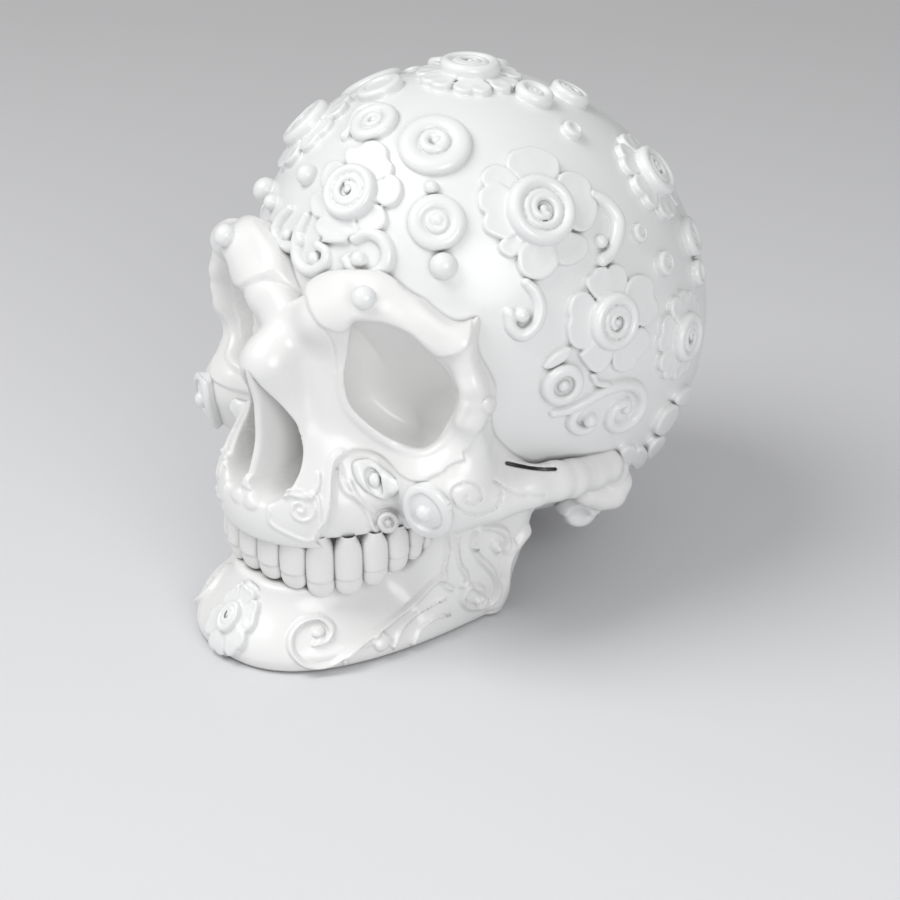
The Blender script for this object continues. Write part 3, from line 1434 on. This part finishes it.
class SkullStage(bpy.types.PropertyGroup):
    floor: bpy.props.FloatVectorProperty(
        name="Floor", description="Colour of the floor", subtype="COLOR", default=(0.70, 0.705, 0.72)
    )
    far_floor: bpy.props.FloatVectorProperty(
        name="Far floor", description="Floor behind the skull", subtype="COLOR", default=(0.62, 0.62, 0.63)
    )
    key: bpy.props.FloatProperty(
        name="Key light", description="Power of the large lamp", subtype="POWER", default=6.0
    )
    fill: bpy.props.FloatProperty(
        name="Fill light", description="Power of the lamp by the camera", subtype="POWER", default=2.4
    )
    ambient: bpy.props.FloatProperty(
        name="Ambient", description="Strength of the world's light", default=0.46, min=0
    )


class MakeCranium(bpy.types.Operator):
    """Makes the cranium"""

    bl_idname = "sugar_skull.cranium"
    bl_label = "Cranium"

    def execute(self, context):
        finish_piece(cranium_piece(), "white")
        knob_piece()
        return {"FINISHED"}


class MakeFace(bpy.types.Operator):
    """Makes the face with its cheek arches"""

    bl_idname = "sugar_skull.face"
    bl_label = "Face"

    def execute(self, context):
        finish_piece(face_piece(), "warm")
        return {"FINISHED"}


class MakeJaw(bpy.types.Operator):
    """Makes the mandible"""

    bl_idname = "sugar_skull.jaw"
    bl_label = "Mandible"

    def execute(self, context):
        finish_piece(jaw_piece(), "warm")
        return {"FINISHED"}


class MakeTeeth(bpy.types.Operator):
    """Makes both rows of teeth"""

    bl_idname = "sugar_skull.teeth"
    bl_label = "Teeth"

    def execute(self, context):
        def upper_ends(bite):
            return bite, TOOTH_ROOT

        def lower_ends(bite):
            return bite - BULLET, bite + LOWER_OVERLAP

        rows = (
            ("upper_tooth_row", "upper_teeth", upper_ends, upper_profile, UPPER_DEPTH, 0.0),
            ("lower_tooth_row", "lower_teeth", lower_ends, lower_profile, LOWER_DEPTH, LOWER_SET_IN),
        )
        for row in rows:
            finish_piece(teeth_piece(*row), "tooth")
        return {"FINISHED"}


SIDE_PETALS = (
    (
        (352, 610), (375, 575), (430, 560), (480, 553), (545, 570), (600, 600), (625, 640), (620, 705),
        (560, 760), (500, 800), (450, 780), (400, 715), (345, 660),
    ),
    (
        (620, 705), (660, 685), (710, 690), (760, 715), (790, 760), (795, 815), (820, 850), (820, 920),
        (790, 980), (740, 1000), (690, 985), (640, 950), (600, 880), (600, 780),
    ),
    (
        (690, 1000), (740, 1015), (775, 1050), (775, 1110), (740, 1150), (680, 1175), (625, 1165),
        (590, 1110), (560, 1040), (580, 980), (640, 970),
    ),
    (
        (420, 1080), (405, 1120), (410, 1190), (440, 1230), (490, 1250), (550, 1245), (600, 1205),
        (620, 1160), (600, 1080), (560, 1010), (480, 1010),
    ),
    (
        (330, 1030), (305, 1070), (320, 1110), (370, 1135), (410, 1110), (440, 1050), (450, 980),
        (400, 960),
    ),
    (
        (215, 775), (197, 820), (205, 880), (235, 905), (222, 950), (240, 1000), (300, 1030), (360, 1040),
        (420, 980), (430, 880), (380, 800), (300, 740),
    ),
    (
        (235, 760), (210, 720), (235, 670), (290, 645), (345, 660), (390, 700), (430, 760), (400, 840),
        (300, 800),
    ),
)
FOREHEAD_PETALS = (
    (
        (862, 690), (855, 650), (880, 610), (935, 605), (970, 580), (1030, 575), (1075, 610), (1085, 670),
        (1110, 700), (1100, 750), (1060, 770), (990, 800), (920, 780),
    ),
    (
        (1060, 775), (1100, 750), (1145, 780), (1155, 840), (1120, 900), (1070, 920), (1030, 900),
        (960, 870), (980, 800),
    ),
    (
        (1060, 930), (1075, 990), (1040, 1040), (980, 1055), (930, 1040), (920, 990), (900, 920),
        (960, 880), (1020, 900),
    ),
    (
        (745, 965), (705, 1010), (715, 1060), (745, 1085), (740, 1105), (850, 1110), (880, 1080),
        (930, 1060), (920, 1000), (880, 930), (800, 920),
    ),
    (
        (720, 840), (685, 860), (675, 910), (695, 970), (740, 975), (770, 950), (820, 900), (780, 850),
    ),
    (
        (850, 690), (800, 680), (760, 710), (735, 770), (740, 820), (780, 850), (850, 800), (870, 740),
    ),
)
LOW_PETALS = (
    (
        (440, 130), (470, 90), (530, 75), (545, 90), (570, 65), (610, 58), (660, 85), (680, 130),
        (685, 190), (665, 260), (640, 340), (540, 380), (490, 330), (450, 290), (415, 240), (395, 190),
        (410, 150),
    ),
    (
        (685, 190), (720, 150), (780, 135), (840, 155), (870, 210), (865, 270), (885, 310), (898, 360),
        (890, 420), (850, 470), (790, 500), (700, 450), (640, 380), (660, 265),
    ),
    (
        (790, 505), (830, 530), (848, 590), (835, 650), (790, 700), (760, 735), (740, 780), (690, 815),
        (640, 820), (600, 800), (580, 740), (590, 640), (660, 560), (740, 520),
    ),
    (
        (440, 600), (410, 640), (350, 690), (365, 730), (410, 790), (450, 820), (500, 820), (545, 780),
        (575, 720), (590, 640), (560, 580), (480, 560),
    ),
    (
        (350, 255), (310, 280), (280, 330), (270, 390), (280, 440), (265, 500), (270, 560), (290, 620),
        (330, 655), (390, 660), (440, 640), (500, 560), (520, 460), (490, 370), (430, 280), (390, 255),
    ),
)


# Flowers with traced petals: name, view, middle, petals, and the rose's radius and turn
TRACED_FLOWERS = (
    ("forehead_flower", CROWN_VIEW, (875, 835), FOREHEAD_PETALS, 8.6, 0.5),
    ("side_flower", SIDE_VIEW, (530, 880), SIDE_PETALS, 10.8, 3.6),
    ("low_flower", LOW_VIEW, (605, 465), LOW_PETALS, 8.8, 2.4),
)
# Flowers with alike petals: name, place, radius, and the rose's radius, the petals' count and the turn
PLAIN_FLOWERS = (
    ("far_flower", egg_place(-38.5, 47.5), 16.5, 9.0, 6, 0.2),
    ("top_flower", egg_place(-6.7, 85.8), 17.0, 9.4, 7, 0.3),
    ("rear_flower", seen_on_egg(LOW_VIEW, (1140, 580), 5.0), 15.0, 7.8, 6, 0.6),
    ("back_flower", seen_on_egg(SIDE_VIEW, (1150, 665), 5.0), 15.5, 8.6, 6, 0.1),
)
CHIN_FLOWER = (10.2, 3.9, 6, 0.35)
PAIRED_FLOWERS = ("low_flower", "rear_flower", "back_flower")


def place_flower(name, clay, surface):
    """Makes a flower in the place of its petals and its rose."""
    put = place_pair if name in PAIRED_FLOWERS else place
    put(name, clay, surface, (f"{name}_petals", f"{name}_rose"))


class MakeFlowers(bpy.types.Operator):
    """Makes the flowers"""

    bl_idname = "sugar_skull.flowers"
    bl_label = "Flowers"

    def execute(self, context):
        for name, view, middle, petals, rose, turn in TRACED_FLOWERS:
            spot = seen_on_egg(view, middle, 4.0)
            place_flower(name, traced_flower(spot, view, petals, rose, turn), spot.surface)
        for name, spot, radius, rose, count, turn in PLAIN_FLOWERS:
            place_flower(name, flower(radius, rose, count, turn), spot.surface)
        place_flower("chin_flower", flower(*CHIN_FLOWER), chin_surface)
        return {"FINISHED"}


# Discs that stand alone: the node, its place, and what makes it from which sizes
SINGLE_DISCS = (
    ("upper_disc_left", egg_place(26, 57), ring_disc, (11.3, 3.2)),
    ("upper_disc_right", egg_place(-73, 57.5), ring_disc, (11.3, 3.2)),
    ("lower_disc_left", egg_place(32.6, 39.2), ring_disc, (8.8, 3.0, 0.22)),
    ("lower_disc_right", egg_place(-67, 38), ring_disc, (8.8, 3.0, 0.22)),
    ("front_disc", egg_place(-4, 57.8), ring_disc, (8.0, 3.0)),
    ("edge_disc", egg_place(-30, 65.5), flat_disc, (7.5, 3.2)),
)
# Discs and studs on both sides: the name, its place, what makes it from which sizes, and the node
PAIRED_DISCS = (
    ("crown_puck_form", egg_place(98.2, 75), ring_disc, (6.4, 3.4), "crown_puck"),
    ("ear_cup_form", seen_on_egg(LOW_VIEW, (238, 915), 3.0), cup_ring, (6.9,), "ear_cup"),
    ("round_bead_form", egg_place(35.5, 30.2), bead, (4.1,), "round_bead"),
    ("rear_stud_form", egg_place(103.8, 21.7), stud, (3.8, 3.2), "rear_stud"),
    ("crown_stud", egg_place(94.9, 61.6), stud, (3.3,), None),
    ("side_stud", egg_place(97.3, 31.8), stud, (3.0,), None),
    ("edge_ring", seen_on_egg(SIDE_VIEW, (1335, 1020), 2.5), ring_disc, (6.8, 3.0), None),
    ("edge_drop", seen_on_egg(SIDE_VIEW, (1375, 1215), 2.5), ring_disc, (4.6, 2.6), None),
    ("crown_rose", seen_on_egg(WHOLE_VIEW, (572, 89), 3.0), lone_rose, (6.6, 1.0), None),
)
LONE_BEADS = (
    ("flat_bead", CROWN_VIEW, (1310, 815), 2.2),
    ("cup_bead", CROWN_VIEW, (655, 750), 3.4),
    ("temple_bead", CROWN_VIEW, (620, 1440), 1.6),
    ("forehead_bead", WHOLE_VIEW, (269, 201), 2.6),
    ("brow_edge_bead", WHOLE_VIEW, (247, 233), 2.6),
)
BROW_BEAD = (965, 1400)


class MakeDiscs(bpy.types.Operator):
    """Makes the ringed discs, beads and studs"""

    bl_idname = "sugar_skull.discs"
    bl_label = "Discs and beads"

    def execute(self, context):
        for name, spot, maker, sizes in SINGLE_DISCS:
            place(f"{name}_form", maker(*sizes), spot.surface, (name,))
        for name, spot, maker, sizes, node in PAIRED_DISCS:
            place_pair(name, maker(*sizes), spot.surface, (node,) if node else ())
        for name, view, point, radius in LONE_BEADS:
            place(name, bead(radius), seen_on_egg(view, point).surface)
        spot = FacePlace(CROWN_VIEW, BROW_BEAD)
        place_pair("brow_bead_form", bead(3.3), spot.surface, ("brow_bead",))
        return {"FINISHED"}


HOOK = ((455, 1265), (505, 1320), (530, 1400), (505, 1490), (440, 1545), (380, 1510), (365, 1430))
EAR_BAND = (
    (175, 1118), (290, 1090), (410, 1030), (540, 955), (660, 918), (760, 930), (800, 990), (795, 1070),
    (750, 1150), (680, 1205), (610, 1220), (570, 1180), (590, 1110), (640, 1060), (690, 1045), (690, 1090),
)
EAR_LOOP = ((380, 1075), (320, 1130), (300, 1190), (340, 1235), (410, 1235), (450, 1200))
CRESCENT = ((800, 800), (880, 850), (935, 930), (935, 1020), (900, 1110), (855, 1150))
BAND_CURL = (
    (900, 1085), (970, 1055), (1045, 1085), (1080, 1160), (1060, 1240), (985, 1285), (905, 1265),
    (860, 1200),
)
PAISLEY = (
    (650, 960), (620, 1020), (595, 1100), (600, 1190), (640, 1245), (700, 1250), (745, 1210), (750, 1150),
    (710, 1120),
)
TEARDROP = ((560, 925), (510, 980), (485, 1050), (500, 1110), (560, 1130), (610, 1095), (605, 1030))
ALMOND = ((850, 545), (890, 500), (920, 430), (990, 395), (1070, 410), (1090, 460), (1050, 510), (960, 520))
SMALL_CURL = ((500, 1195), (515, 1160), (555, 1155), (580, 1185), (565, 1215))
LEAF = (
    (95, 790), (120, 740), (180, 680), (260, 645), (295, 655), (280, 710), (220, 760), (150, 795),
)
EAR_DROP = (
    (430, 840), (470, 830), (490, 880), (560, 890), (580, 920), (540, 935), (470, 920), (440, 880),
)
REAR_LEAVES = (
    (
        (880, 1240), (900, 1170), (950, 1090), (1010, 1045), (1040, 1060), (1025, 1120), (980, 1200),
        (920, 1260),
    ),
    ((815, 1400), (850, 1330), (905, 1275), (945, 1270), (930, 1320), (870, 1400), (830, 1430)),
    ((630, 1400), (680, 1340), (740, 1340), (750, 1380), (700, 1460), (660, 1480)),
    ((700, 1440), (750, 1360), (800, 1345), (825, 1390), (790, 1450), (740, 1495)),
    ((1020, 1040), (1050, 970), (1110, 920), (1130, 950), (1100, 1030), (1060, 1060)),
)
ROSETTE = (
    (905, 850), (930, 835), (1000, 830), (1060, 870), (1120, 930), (1150, 990), (1120, 1020), (1060, 1030),
    (980, 1000), (930, 950), (905, 890),
)
ROSETTE_HOLLOW = ((960, 890), (1000, 880), (1045, 910), (1075, 960), (1065, 1005), (1020, 1010), (970, 965))
CHEEK_CUP = (
    (1170, 1080), (1200, 1045), (1260, 1050), (1330, 1085), (1380, 1130), (1400, 1190), (1370, 1230),
    (1310, 1240), (1240, 1210), (1190, 1150),
)
CUP_HOLLOW = (
    (1205, 1080), (1250, 1070), (1310, 1098), (1350, 1140), (1352, 1180), (1300, 1192), (1245, 1165),
    (1210, 1120),
)


# Scrolls: name, view, middle, strips with their half widths, and beads with their radii
PAIRED_SCROLLS = (
    ("hook_scroll", SIDE_VIEW, (445, 1420), ((HOOK, 2.2),), (((430, 1440), 2.3),)),
    ("ear_scroll", LOW_VIEW, (500, 1080), ((EAR_BAND, 2.1), (EAR_LOOP, 1.9)), (((430, 1165), 2.4),)),
)
SINGLE_SCROLLS = (
    ("crescent_scroll", SIDE_VIEW, (870, 1000), ((CRESCENT, 2.6),), (((850, 1050), 2.2),)),
    ("band_curl", CROWN_VIEW, (960, 1170), ((BAND_CURL, 2.2),), (((925, 1195), 2.6),)),
    ("paisley", CROWN_VIEW, (670, 1130), ((PAISLEY, 2.0),), (((690, 1190), 2.2),)),
    ("teardrop", CROWN_VIEW, (550, 1040), ((TEARDROP, 2.0),), (((550, 1065), 2.0),)),
    ("almond", CROWN_VIEW, (980, 460), ((ALMOND, 2.2),), ()),
    ("small_curl", SIDE_VIEW, (540, 1185), ((SMALL_CURL, 1.6),), ()),
)
# The cheeks' pieces: name, middle, outline, hollow, the bead's place, height, and the bead's radius
CHEEK_PIECES = (
    ("cheek_rosette", (1020, 935), ROSETTE, ROSETTE_HOLLOW, (1017, 940), 3.2, 2.4),
    ("cheek_cup", (1285, 1140), CHEEK_CUP, CUP_HOLLOW, (1275, 1128), 3.4, 2.4),
)


class MakeScrolls(bpy.types.Operator):
    """Makes the scrolls, leaves and drops"""

    bl_idname = "sugar_skull.scrolls"
    bl_label = "Scrolls and leaves"

    def execute(self, context):
        for name, view, middle, strips, beads in PAIRED_SCROLLS:
            spot = seen_on_egg(view, middle)
            place_pair(f"{name}_form", scroll(spot, view, strips, beads), spot.surface, (name,))
        for name, view, middle, strips, beads in SINGLE_SCROLLS:
            spot = seen_on_egg(view, middle)
            place(name, scroll(spot, view, strips, beads), spot.surface)
        for name, outline in (("leaf", LEAF), ("ear_drop", EAR_DROP)):
            spot = seen_on_egg(LOW_VIEW, np.mean(outline, 0))
            place_pair(name, plate_shape(spot, LOW_VIEW, outline, 2.2), spot.surface)
        for number, outline in enumerate(REAR_LEAVES):
            spot = seen_on_egg(LOW_VIEW, np.mean(outline, 0))
            place_pair(f"rear_leaf_{number}", plate_shape(spot, LOW_VIEW, outline, 2.6), spot.surface)
        return {"FINISHED"}


class MakeCheeks(bpy.types.Operator):
    """Makes the rosettes and cups of the cheeks"""

    bl_idname = "sugar_skull.cheeks"
    bl_label = "Cheek rosettes"

    def execute(self, context):
        for name, middle, outline, hollow, bead_place, height, radius in CHEEK_PIECES:
            spot = FacePlace(FACE_VIEW, middle)
            clay = plate_shape(spot, FACE_VIEW, outline, height, 1.4, ((hollow, 1.3),), 0.3)
            clay.ball(*spot.local(FACE_VIEW, [bead_place])[0], height - 1.6, radius, 0.4)
            place_pair(f"{name}_form", clay, spot.surface, (name,), 0)
        return {"FINISHED"}


# The lamps: their places and their sizes
KEY_LAMP = ((-250.0, -520.0, 900.0), 700.0)
FILL_LAMP = ((700.0, -350.0, 420.0), 500.0)
LAMP_AIM = (0.0, -20.0, 85.0)
FLOOR_REACH = 6.0
# Where the floor starts to change its colour and where it ends, in metres along the view
FLOOR_TURN = (-0.15, 0.55)


class MakeStage(bpy.types.Operator):
    """Makes the floor, the lights and the camera"""

    bl_idname = "sugar_skull.stage"
    bl_label = "Stage"

    def execute(self, context):
        props = context.scene.sugar_skull_stage
        floor_piece(props)
        lamp("key_light", *KEY_LAMP, props.key)
        lamp("fill_light", *FILL_LAMP, props.fill)
        world = bpy.data.worlds.new("studio")
        world.use_nodes = True
        world.node_tree.nodes["Background"].inputs["Color"].default_value = (1, 1, 1, 1)
        world.node_tree.nodes["Background"].inputs["Strength"].default_value = props.ambient
        context.scene.world = world
        camera_piece(context)
        context.scene.view_settings.view_transform = "Standard"
        return {"FINISHED"}


def in_frame(point):
    """A place of the script's own, in the frame's metres."""
    return Vector((point[0], point[1] + BACK, point[2])) * MM


def lamp(name, spot, size, power):
    """A round area lamp that points at the skull."""
    data = bpy.data.lights.new(name, "AREA")
    data.shape = "DISK"
    data.size = size * MM
    data.energy = power
    light = bpy.data.objects.new(name, data)
    light.location = in_frame(spot)
    aim = in_frame(LAMP_AIM) - light.location
    light.rotation_euler = aim.to_track_quat("-Z", "Y").to_euler()
    bpy.context.scene.collection.objects.link(light)


def floor_piece(props):
    """A plain pale floor that changes tone towards the back."""
    mesh = bpy.data.meshes.new("floor")
    corners = [(FLOOR_REACH * x, FLOOR_REACH * y, 0) for x, y in ((-1, -1), (1, -1), (1, 1), (-1, 1))]
    mesh.from_pydata(corners, [], [(0, 1, 2, 3)])
    floor = bpy.data.objects.new("floor", mesh)
    bpy.context.scene.collection.objects.link(floor)
    material = bpy.data.materials.new("floor_paper")
    material.use_nodes = True
    tree = material.node_tree
    shader = tree.nodes["Principled BSDF"]
    shader.inputs["Roughness"].default_value = 0.9
    shader.inputs["Specular IOR Level"].default_value = 0.1
    away = (-CAMERA_RIGHT[1], CAMERA_RIGHT[0], 0)
    ahead = new_node(tree, "VectorMath", {1: away}, operation="DOT_PRODUCT")
    tree.links.new(new_node(tree, "TexCoord").outputs["Object"], ahead.inputs[0])
    turn = new_node(tree, "MapRange", {"From Min": FLOOR_TURN[0], "From Max": FLOOR_TURN[1]})
    tree.links.new(ahead.outputs["Value"], turn.inputs["Value"])
    colour = mixed(tree, turn.outputs["Result"], tuple(props.floor), tuple(props.far_floor))
    tree.links.new(colour, shader.inputs["Base Color"])
    mesh.materials.append(material)


def camera_piece(context):
    """The camera of the photograph."""
    data = bpy.data.cameras.new("camera")
    data.sensor_width = SENSOR
    data.lens = FOCAL_PIXELS / PHOTO_SIZE * SENSOR
    camera = bpy.data.objects.new("camera", data)
    turn = Matrix([CAMERA_RIGHT, CAMERA_UP, -CAMERA_FORWARD]).transposed()
    camera.matrix_world = Matrix.Translation(in_frame(CAMERA_PLACE)) @ turn.to_4x4()
    context.scene.collection.objects.link(camera)
    context.scene.camera = camera


class SugarSkullPanel(bpy.types.Panel):
    """Lists the steps that build the skull"""

    bl_idname = "VIEW3D_PT_sugar_skull"
    bl_label = "Sugar Skull"
    bl_space_type = "VIEW_3D"
    bl_region_type = "UI"
    bl_category = "Sugar Skull"

    def draw(self, context):
        for operator in OPERATORS:
            self.layout.operator(operator.bl_idname)
        for group in (context.scene.sugar_skull_glaze, context.scene.sugar_skull_stage):
            for name in group.__annotations__:
                self.layout.prop(group, name)


OPERATORS = (
    MakeCranium, MakeFace, MakeJaw, MakeTeeth, MakeFlowers, MakeDiscs, MakeScrolls, MakeCheeks, MakeStage,
)
CLASSES = (SkullGlaze, SkullStage, *OPERATORS, SugarSkullPanel)


def register():
    for some_class in CLASSES:
        bpy.utils.register_class(some_class)
    bpy.types.Scene.sugar_skull_glaze = bpy.props.PointerProperty(type=SkullGlaze)
    bpy.types.Scene.sugar_skull_stage = bpy.props.PointerProperty(type=SkullStage)


def unregister():
    del bpy.types.Scene.sugar_skull_stage
    del bpy.types.Scene.sugar_skull_glaze
    for some_class in reversed(CLASSES):
        bpy.utils.unregister_class(some_class)


def main():
    register()
    bpy.ops.sugar_skull.cranium()
    bpy.ops.sugar_skull.face()
    bpy.ops.sugar_skull.jaw()
    bpy.ops.sugar_skull.teeth()
    bpy.ops.sugar_skull.flowers()
    bpy.ops.sugar_skull.discs()
    bpy.ops.sugar_skull.scrolls()
    bpy.ops.sugar_skull.cheeks()
    bpy.ops.sugar_skull.stage()


if __name__ == "__main__":
    main()
